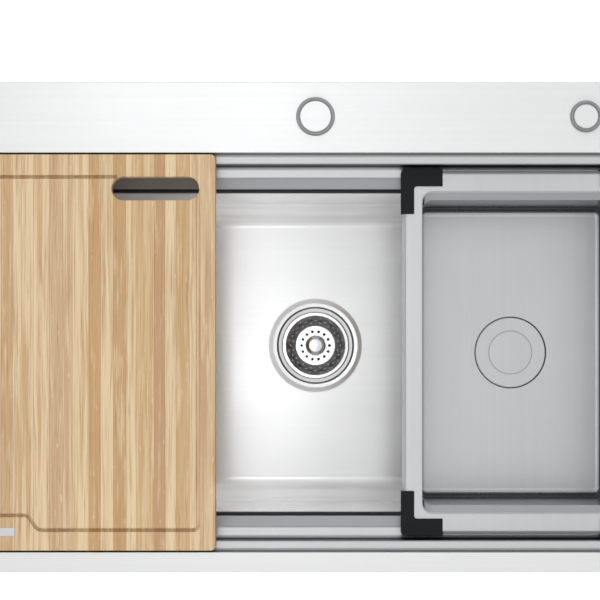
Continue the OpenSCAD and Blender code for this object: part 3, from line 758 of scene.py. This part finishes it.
def model_cover(name, node):
    """Turns a cover: a stud below the rim plate, and a sunk face inside a raised ring above it."""
    middle, radius = middle_of(node), radius_of(node)
    stud, chamfer, foot = 0.0040, 0.0008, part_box(node)[0].z - RIM_TOP
    face_height, ring_height = 0.0016, 0.0030
    cover = turned(name, (middle.x, middle.y, RIM_TOP), [
        (0, foot), (stud - chamfer, foot), (stud, foot + chamfer), (stud, 0), (radius - 0.0026, 0),
        (radius - 0.0026, 0.0006), (radius - 0.0004, 0.0006), (radius, 0.0010),
        (radius - 0.0017, ring_height), (radius - 0.0025, ring_height), (radius - 0.0042, face_height),
        (0, face_height)])
    soften(cover, 0.0002, angle=20)
    finish(cover, "sink", polished_steel(), node)
    sunk = RIM_TOP + face_height + 0.0002
    # painted shade on the raised ring
    paint(cover, ring_steel(), lambda face: face.center.z > RIM_TOP)
    paint(cover, deck_steel(), lambda face: face.normal.z > 0.99 and face.center.z < sunk)


# ---- Strainer and basket ----

def model_strainer():
    throat, bore, wall = 0.0344, 0.0204, 0.0035
    body = turned("strainer_flange_and_cup", (DRAIN.x, DRAIN.y, bowl_floor()), [
        (0.0435, -0.0015), (0.0435, -0.0012), (0.0414, -0.0005), (0.0380, -0.0009), (0.0373, -0.0014),
        (0.0372, -0.0034), (0.0346, -0.0039), (throat, -0.0050), (throat, -0.0400), (bore, -0.0470),
        (bore, -0.0680), (bore + wall, -0.0680), (bore + wall, -0.0505), (0.0384, -0.0435),
        (0.0384, -0.0015)], 128)
    soften(body, 0.0003, angle=25)
    finish(body, "sink", polished_steel(), "strainer_body")
    outer_ring = 0.0416
    # painted shadow line round the flange's outer edge
    paint(body, tub_wall_steel(),
          lambda face: from_axis(face, DRAIN) > outer_ring and 0.2 < face.normal.z < 0.99)


def punch(depth, reach, turn, height, sideways=False):
    """A round cutter at a reach from the drain's axis and turned about it, upright or along its radius."""
    clear_selection()
    bpy.ops.mesh.primitive_cylinder_add(vertices=20, radius=sizes().basket_hole, depth=depth)
    cutter = bpy.context.object
    with editing(cutter):
        if sideways:
            bpy.ops.transform.rotate(value=pi / 2, orient_axis="Y", center_override=(0, 0, 0))
        bpy.ops.transform.translate(value=(reach, 0, 0))
        bpy.ops.transform.rotate(value=turn, orient_axis="Z", center_override=(0, 0, 0))
        bpy.ops.transform.translate(value=(DRAIN.x, DRAIN.y, height))
    return cutter


def model_basket():
    foot, rim = (corner.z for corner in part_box("basket_cup"))
    wall = 0.0008
    floor = foot + wall
    lip = 0.0368
    cone = turned("basket_cone", (DRAIN.x, DRAIN.y, 0), [
        (lip, rim), (0.0338, rim), (0.0330, rim - 0.0008), (0.0240, floor + 0.0016), (0.0222, floor),
        (0, floor), (0, foot), (0.0226, foot), (0.0248, foot + 0.0018), (0.0335, rim - 0.0012),
        (0.0340, rim - wall), (lip, rim - wall)], 128)
    # the floor's rings of holes, each a radius and a count, and then the rows of holes in the wall
    cutters = [punch(0.006, radius, hole * tau / count, foot)
               for radius, count in ((0.009, 8), (0.016, 14)) for hole in range(count)]
    rows, count, wall_height = 3, 16, 0.031
    for row in range(1, rows + 1):
        height = rim - row * wall_height / (rows + 1)
        for hole in range(count):
            # each row is turned by half a hole against the next
            cutters.append(punch(0.030, 0.028, (hole + row / 2) * tau / count, height, sideways=True))
    cut(cone, join(*cutters))
    finish(cone, "basket", polished_steel(), "basket_cup")


def model_knob():
    radius, neck, bore = radius_of("basket_knob"), 0.0040, 0.0020
    knob = turned("basket_lifting_knob", (DRAIN.x, DRAIN.y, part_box("basket_knob")[1].z), [
        (0, 0), (radius - 0.0040, -0.0003), (radius - 0.0015, -0.0012), (radius, -0.0028),
        (radius - 0.0004, -0.0040), (radius - 0.0030, -0.0048), (neck + 0.0005, -0.0056), (neck, -0.0080),
        (bore, -0.0080), (bore, -0.0040), (0, -0.0040)], 64)
    soften(knob, 0.0004, angle=15)
    finish(knob, "basket", polished_steel(), "basket_knob")


# ---- Board ----

def groove_path(half, slot_x, slot_y):
    """Points of the juice groove from the board's middle; it starts and ends at the hand slot."""
    s = sizes()
    side, back, front = half.x - 0.018, half.y - 0.023, 0.021 - half.y
    # the groove steps back round the metal plate
    dip, ramp_start, ramp_end = front + 0.015, 0.0435, 0.0338
    last = slot_y - 0.002
    return [
        (slot_x - s.slot_width / 2 + s.slot_depth / 4, back), (-side, back), (-side, front),
        (-ramp_start, front), (-ramp_end, dip), (ramp_end, dip), (ramp_start, front), (side, front),
        (side, last), (side - 0.012, last)]


def groove_cutter(middle, top, path):
    """A bar with a rounded underside that follows the path."""
    s = sizes()
    floor = top - s.groove_depth
    points = [(middle.x + x, middle.y + y) for x, y in path]
    bar = seed_point("groove", (*points[0], floor))
    for (x, y), (next_x, next_y) in zip(points, points[1:]):
        extrude(x=next_x - x, y=next_y - y)
    turns = [Vector(point) for point in points[1:-2]]
    select("VERT", lambda v: min((v.co.xy - turn).length for turn in turns) < TINY)
    bevel(0.004, 6, affect="VERTICES")
    select_all()
    extrude(z=s.groove_depth + 0.004)
    face_outwards()
    bpy.ops.object.mode_set(mode="OBJECT")
    thicken(bar, s.groove_width, side=0)
    with editing(bar):
        face_outwards()
        select("EDGE", lambda e: level(floor)(e) and abs(e.calc_face_angle(0)) > 1)
        bevel(0.0014, 3)
    return bar


def model_board():
    s = sizes()
    low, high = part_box("board")
    middle, half = (low + high) / 2, (high - low) / 2
    board = block("cutting_board", low, high, s.board_corner, 8)
    with editing(board):
        select("EDGE", lambda e: level(low.z)(e) or level(high.z)(e))
        bevel(s.board_edge, 3)
    # the hand slot's place from the board's middle
    slot_x, slot_y = 0.1635, 0.16725
    reach = Vector((s.slot_width / 2, s.slot_depth / 2, half.z + PAST))
    place = middle + Vector((slot_x, slot_y, 0))
    cut(board, block("slot", place - reach, place + reach, s.slot_depth / 2 - 0.0001, 16))
    cut(board, groove_cutter(middle, high.z, groove_path(half, slot_x, slot_y)))
    plate_low, plate_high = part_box("board_plate")
    gap = Vector((0.00005, 0.00005, 0))
    cut(board, block("recess", plate_low - gap, plate_high + gap + Vector((0, 0, PAST)), 0.0015, 4))
    soften(board, 0.0005, angle=50)
    finish(board, "board", bamboo(), "board")
    edge = 0.004
    # painted shade, with the routed fibres' own tone, inside the groove, slot and recess
    paint(board, routed_bamboo(), lambda face: high.z - 0.0045 < face.center.z < high.z - 0.0004
          and within(face.center, middle, half.x - edge, half.y - edge))
    plate = block("board_inlay_plate", plate_low, plate_high, 0.00145, 4)
    soften(plate, 0.0002)
    finish(plate, "board", ledge_steel(), "board_plate")


# ---- Tub ----

def model_tub():
    s = sizes()
    low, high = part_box("tub_shell")
    middle = (low + high) / 2
    top, rim_end = high.z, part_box("pad_front_left")[0].z + 0.0015
    mouth, floor = top - s.mouth_height, RIM_TOP - s.tub_depth
    half_x, half_y = s.tub_width / 2, s.tub_length / 2
    seat, hole = 0.0380, 0.0290
    rim_corner, rim_bend, mouth_bend = 0.008, 0.005, 0.0012
    body = block("tub_pan", (middle.x - half_x, middle.y - half_y, floor),
                 (middle.x + half_x, middle.y + half_y, mouth), s.tub_corner, 10)
    with editing(body):
        remove_faces(level(mouth))
        select("EDGE", level(floor))
        bevel(s.tub_bend, 10)
        # the mouth flares towards the front and the back
        select("EDGE", open_level(mouth))
        extrude(z=s.mouth_height)
        for side in (-1, 1):
            select("VERT", lambda v: abs(v.co.z - top) < TINY and side * (v.co.y - middle.y) > 0)
            bpy.ops.transform.translate(value=(0, side * s.mouth_width, 0))
        # the floor steps down to the plug's seat and to the turned-down collar of its hole
        pierce_floor(middle, floor, seat + 0.0012, [
            (seat + 0.0006, 0.0004), (seat, 0.0030), (hole + 0.0010, 0.0030), (hole, 0.0040), (hole, 0.0110)])
    rim = block("rim", (low.x, low.y, rim_end), (high.x, high.y, top), rim_corner, 8)
    with editing(rim):
        select("EDGE", level(top))
        bevel(rim_bend, 6)
        remove_faces(lambda f: level(top)(f) or level(rim_end)(f))
    join(body, rim)
    reach_x, reach_y = half_x + 0.002, half_y + s.mouth_width + 0.002
    with editing(body):
        select("EDGE", open_level(top))
        bpy.ops.mesh.fill()
        select("EDGE", lambda e: level(top)(e) and e.calc_face_angle(0) > 0.3
               and all(within(v.co, middle, reach_x, reach_y) for v in e.verts))
        bevel(mouth_bend, 3)
        face_outwards()
    thicken(body, s.tub_sheet)
    finish(body, "tub", tub_steel(), "tub_shell")
    inside_x, inside_y = half_x + 0.0003, half_y + s.mouth_width + 0.0003
    # painted shade on the tub's inner walls
    paint(body, tub_wall_steel(), lambda face: abs(face.normal.z) < 0.88
          and floor + 0.0006 < face.center.z < top - 0.0015
          and within(face.center, middle, inside_x, inside_y))
    # painted shade on the tub's flared mouth
    paint(body, slope_steel(), lambda face: 0.6 < face.normal.z < 0.95
          and mouth < face.center.z < top - 0.0006 and within(face.center, middle, inside_x, inside_y))
    # painted shadow ring round the plug's seat
    paint(body, tub_wall_steel(), lambda face: face.normal.z > 0.1
          and floor - 0.003 < face.center.z < floor - TINY
          and seat - 0.0002 < from_axis(face, middle) < seat + 0.0012)


def model_pad(name, node, side_x, side_y):
    """Cuts a corner pad from a block: an L of two legs, hollow below where the tub's rim fits in."""
    low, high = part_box(node)
    outer = Vector((high.x if side_x > 0 else low.x, high.y if side_y > 0 else low.y, 0))

    def corner_block(label, near_x, near_y, far_x, far_y, low_z, high_z, radius, steps=8):
        """A block between two distances from the pad's outer corner, with its near corner rounded."""
        near = outer - Vector((side_x * near_x, side_y * near_y, 0))
        far = outer - Vector((side_x * far_x, side_y * far_y, 0))
        made = block(label, (min(near.x, far.x), min(near.y, far.y), low_z),
                     (max(near.x, far.x), max(near.y, far.y), high_z))
        with editing(made):
            select("EDGE", lambda e: upright(e) and (e.verts[0].co.xy - near.xy).length < TINY)
            bevel(radius, steps)
        return made

    leg_x, leg_y, leg_x_width, leg_y_width = 0.0427, 0.0463, 0.0178, 0.0134
    rim_gap, foot_gap, far = 0.0013, 0.0053, 0.07
    pad = corner_block(name, 0, 0, leg_x, leg_y, low.z, high.z, 0.004)
    cut(pad, corner_block("notch", leg_y_width, leg_x_width, far, far, low.z - PAST, high.z + PAST, 0.003, 6))
    cut(pad, corner_block("rim_room", rim_gap, rim_gap, far, far, low.z + 0.0015, high.z - 0.002, 0.0067))
    cut(pad, corner_block("foot_room", foot_gap, foot_gap, far, far, low.z - PAST, high.z - 0.004, 0.003))
    soften(pad, 0.0005, angle=40)
    finish(pad, "tub", soft_silicone(), node)


def model_plug():
    top, middle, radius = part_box("plug_disc")[1].z, middle_of("plug_disc"), radius_of("plug_disc")
    thickness, ring, ring_half, ring_depth = 0.0015, 0.0234, 0.0005, 0.0002
    disc = turned("plug_cover_disc", (middle.x, middle.y, top), [
        (0, -thickness), (radius, -thickness), (radius, 0), (ring + ring_half, 0),
        (ring + 0.0002, -ring_depth), (ring - 0.0002, -ring_depth), (ring - ring_half, 0), (0, 0)], 128)
    soften(disc, 0.00025, angle=50)
    finish(disc, "tub_plug", tub_steel(), "plug_disc")
    # painted shade in the plug's ring groove
    paint(disc, slope_steel(), lambda face: face.normal.z > 0.1 and face.center.z < top - TINY
          and abs(from_axis(face, middle) - ring) < ring_half)


# ---- Pieces that keep the frame's own mesh ----

def dress(material, *nodes):
    """Gives the frame's nodes a look, and smooth shading where they curve."""
    for name in nodes:
        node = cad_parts[name]
        node.data.materials.clear()
        node.data.materials.append(material)
        for face in node.data.polygons:
            face.use_smooth = True
        node.modifiers.new("Weld", "WELD").merge_threshold = TINY
        split = node.modifiers.new("Creases", "EDGE_SPLIT")
        split.split_angle = CREASE
        split.use_edge_sharp = False


def dress_underside():
    c = colours()
    dress(look("zinc_plating", plated, c.zinc), "rail_front", "rail_back", "rail_left", "rail_right",
          "clip_brackets", "clip_screws", "tap_cap_nut", "soap_cap_nut")
    dress(look("nylon", moulded, c.plastic, 0.45, grain=900, strength=0.1), "clip_feet", "tap_cap_washer",
          "soap_cap_washer", "strainer_slip_ring", "strainer_nut")
    dress(look("rubber", moulded, c.rubber, 0.62), "rim_seal", "tap_cap_gasket", "soap_cap_gasket",
          "strainer_gasket", "strainer_washer", "basket_stopper")
    dress(look("damping_sheet", moulded, c.damping, 0.75, grain=500, strength=0.5), "sound_pad_left",
          "sound_pad_right", "sound_pad_front", "sound_pad_back")
    dress(soft_silicone(), "plug_seal")
    # painted shade on the end walls
    dress(outer_steel(), "end_wall_left", "end_wall_right")
    dress(polished_steel(), "basket_post")


# ---- Stage: floor, soft light and camera ----

BOWL_ONLY = ("bowl_shell",)
DECK_ONLY = ("rim_and_tap_deck", "tap_hole_cover", "soap_hole_cover")

# mirrored says whether steel mirrors a lamp, and pieces names the only ones it lights, if not all
Lamp = namedtuple("Lamp", "name place aim size watts mirrored pieces")


def pair(name, distance, height, aim_height, size, watts, pieces=None):
    """Two equal softboxes, one before the sink and one behind it."""
    aim = (0, 0, aim_height)
    return [Lamp(f"{end}_{name}", (0, side * distance, height), aim, size, watts, False, pieces)
            for end, side in (("front", -1), ("back", 1))]


LAMPS = (
    *pair("softbox", 1.9, 1.6, -0.1, (1.0, 1.2), 15.0),
    *pair("low_softbox", 2.3, 0.90, -0.05, (1.0, 0.7), 16.0),
    *pair("bowl_softbox", 1.9, 1.6, -0.1, (1.0, 0.8), 17.0, BOWL_ONLY),
    Lamp("right_bowl_softbox", (1.0, 0, 1.6), (-0.1, 0, -0.2), (0.6, 0.6), 24.0, False, BOWL_ONLY),
    Lamp("bowl_lamp", (-0.12, 0.0, 2.3), (-0.06, 0, 0), (0.35, 0.20), 0.55, True, None),
    Lamp("deck_lamp", (-0.20, 0.54, 2.3), (-0.10, 0.25, 0), (0.7, 0.12), 0.8, True, DECK_ONLY),
)
# the room's brightness by the height of a direction, from level at 0 to straight up at 1
SKY = ((0.0, 0.40), (0.1, 0.50), (0.3, 0.50), (0.5, 0.28), (0.8, 0.32), (0.92, 0.70), (0.97, 0.79))
FLOOR_SIZE = 14
FLOOR_GAP = 0.0005
CAMERA_HEIGHT = 2.104


def build_floor():
    """A floor that lights the piece as pale grey and shows as white."""
    clear_selection()
    bpy.ops.mesh.primitive_plane_add(size=FLOOR_SIZE, location=(0, 0, cad_box[0].z - FLOOR_GAP))
    floor = bpy.context.object
    floor.name = "floor"
    material = bpy.data.materials.new("floor")
    tree = empty_tree(material)
    rays = add_node(tree, "LightPath").outputs
    seen = calculate(tree, "MAXIMUM", rays["Is Camera Ray"], rays["Is Glossy Ray"])
    seen = calculate(tree, "MAXIMUM", seen, rays["Is Transmission Ray"])
    matt = add_node(tree, "BsdfDiffuse", {"Color": (0.8, 0.8, 0.8, 1)}).outputs[0]
    lit = add_node(tree, "BsdfDiffuse", {"Color": (0.3, 0.3, 0.3, 1)}).outputs[0]
    glow = add_node(tree, "Emission", {"Strength": 0.88}).outputs[0]
    white = add_node(tree, "AddShader", {0: lit, 1: glow}).outputs[0]
    both = add_node(tree, "MixShader", {0: seen, 1: matt, 2: white}).outputs[0]
    add_node(tree, "OutputMaterial", {"Surface": both})
    floor.data.materials.append(material)


def build_room():
    """A world that is white to the camera and lights the piece by SKY."""
    world = bpy.data.worlds.new("studio")
    bpy.context.scene.world = world
    tree = empty_tree(world)
    direction = add_node(tree, "TexCoord").outputs["Generated"]
    height = add_node(tree, "SeparateXYZ", {0: direction}).outputs["Z"]
    ramp = add_node(tree, "ValToRGB", {"Fac": height})
    steps = ramp.color_ramp.elements
    for place, _ in SKY[1:-1]:
        steps.new(place)
    for step, (place, brightness) in zip(steps, SKY):
        step.position = place
        step.color = (brightness, brightness, brightness, 1)
    rays = add_node(tree, "LightPath").outputs
    room = add_node(tree, "Background", {"Color": ramp.outputs["Color"]}).outputs[0]
    white = add_node(tree, "Background", {"Color": (1, 1, 1, 1)}).outputs[0]
    both = add_node(tree, "MixShader", {0: rays["Is Camera Ray"], 1: room, 2: white}).outputs[0]
    add_node(tree, "OutputWorld", {"Surface": both})


def build_lamp(lamp):
    light = bpy.data.lights.new(lamp.name, "AREA")
    light.shape = "RECTANGLE"
    light.size, light.size_y = lamp.size
    light.energy = lamp.watts
    holder = bpy.data.objects.new(lamp.name, light)
    holder.location = lamp.place
    holder.rotation_euler = (Vector(lamp.aim) - Vector(lamp.place)).to_track_quat("-Z", "Y").to_euler()
    holder.visible_camera = False
    holder.visible_glossy = lamp.mirrored
    if lamp.pieces:
        lit = bpy.data.collections.new(lamp.name)
        for piece in lamp.pieces:
            lit.objects.link(bpy.data.objects[piece])
        holder.light_linking.receiver_collection = lit
    bpy.context.scene.collection.objects.link(holder)


def build_camera():
    """A camera straight above the bowl's middle, whose picture crops both ends of the sink."""
    camera = bpy.data.cameras.new("camera")
    camera.lens = 123.5
    camera.shift_x = -0.0258
    camera.shift_y = 0.0875
    camera.clip_end = 50
    holder = bpy.data.objects.new("camera", camera)
    holder.location = (0, BOWL_MIDDLE.y, CAMERA_HEIGHT)
    scene = bpy.context.scene
    scene.collection.objects.link(holder)
    scene.camera = holder


def build_stage():
    bpy.context.scene.view_settings.view_transform = "Standard"
    build_floor()
    build_room()
    for lamp in LAMPS:
        build_lamp(lamp)
    build_camera()


# ---- Operators, panel and registration ----

class SINK_OT_rim(bpy.types.Operator):
    """Model the rim plate with its tap deck, opening and holes"""
    bl_idname = "sink.rim"
    bl_label = "Rim"

    def execute(self, context):
        model_rim()
        return {"FINISHED"}


class SINK_OT_ledges(bpy.types.Operator):
    """Model the folded ledge sheets at the front and the back"""
    bl_idname = "sink.ledges"
    bl_label = "Ledges"

    def execute(self, context):
        model_ledge("ledge_sheet_front", "ledge_front", -1)
        model_ledge("ledge_sheet_back", "ledge_back", 1)
        return {"FINISHED"}


class SINK_OT_bowl(bpy.types.Operator):
    """Model the bowl with its bends and the recess round the drain"""
    bl_idname = "sink.bowl"
    bl_label = "Bowl"

    def execute(self, context):
        model_bowl()
        return {"FINISHED"}


class SINK_OT_covers(bpy.types.Operator):
    """Model the covers of the tap hole and the soap dispenser hole"""
    bl_idname = "sink.covers"
    bl_label = "Hole covers"

    def execute(self, context):
        model_cover("tap_hole_cover", "tap_cap")
        model_cover("soap_hole_cover", "soap_cap")
        return {"FINISHED"}


class SINK_OT_strainer(bpy.types.Operator):
    """Model the strainer's body and its basket"""
    bl_idname = "sink.strainer"
    bl_label = "Strainer"

    def execute(self, context):
        model_strainer()
        model_basket()
        model_knob()
        return {"FINISHED"}


class SINK_OT_board(bpy.types.Operator):
    """Model the bamboo board with its groove, hand slot and plate"""
    bl_idname = "sink.board"
    bl_label = "Board"

    def execute(self, context):
        model_board()
        return {"FINISHED"}


class SINK_OT_tub(bpy.types.Operator):
    """Model the tub, its corner pads and its plug"""
    bl_idname = "sink.tub"
    bl_label = "Tub"

    def execute(self, context):
        model_tub()
        for end, side_y in (("front", -1), ("back", 1)):
            for hand, side_x in (("left", -1), ("right", 1)):
                model_pad(f"corner_pad_{end}_{hand}", f"pad_{end}_{hand}", side_x, side_y)
        model_plug()
        return {"FINISHED"}


class SINK_OT_underside(bpy.types.Operator):
    """Finish the rails, clips, seals and pads underneath"""
    bl_idname = "sink.underside"
    bl_label = "Underside"

    def execute(self, context):
        dress_underside()
        return {"FINISHED"}


class SINK_OT_stage(bpy.types.Operator):
    """Set up the floor, the light and the camera"""
    bl_idname = "sink.stage"
    bl_label = "Stage"

    def execute(self, context):
        build_stage()
        return {"FINISHED"}


STEPS = (SINK_OT_rim, SINK_OT_ledges, SINK_OT_bowl, SINK_OT_covers, SINK_OT_strainer, SINK_OT_board,
         SINK_OT_tub, SINK_OT_underside, SINK_OT_stage)


class SINK_PT_panel(bpy.types.Panel):
    bl_idname = "SINK_PT_panel"
    bl_label = "Workstation sink"
    bl_space_type = "VIEW_3D"
    bl_region_type = "UI"
    bl_category = "Sink"

    def draw(self, context):
        for step in STEPS:
            self.layout.operator(step.bl_idname)
        for group in (sizes(), colours()):
            for field in group.bl_rna.properties:
                if field.identifier not in ("rna_type", "name"):
                    self.layout.prop(group, field.identifier)


CLASSES = (SinkSizes, SinkColours, *STEPS, SINK_PT_panel)


def register():
    for made in CLASSES:
        bpy.utils.register_class(made)
    bpy.types.Scene.sink_sizes = bpy.props.PointerProperty(type=SinkSizes)
    bpy.types.Scene.sink_colours = bpy.props.PointerProperty(type=SinkColours)


def unregister():
    del bpy.types.Scene.sink_sizes
    del bpy.types.Scene.sink_colours
    for made in reversed(CLASSES):
        bpy.utils.unregister_class(made)


def main():
    register()
    for step in STEPS:
        group, name = step.bl_idname.split(".")
        getattr(getattr(bpy.ops, group), name)()


if __name__ == "__main__":
    main()
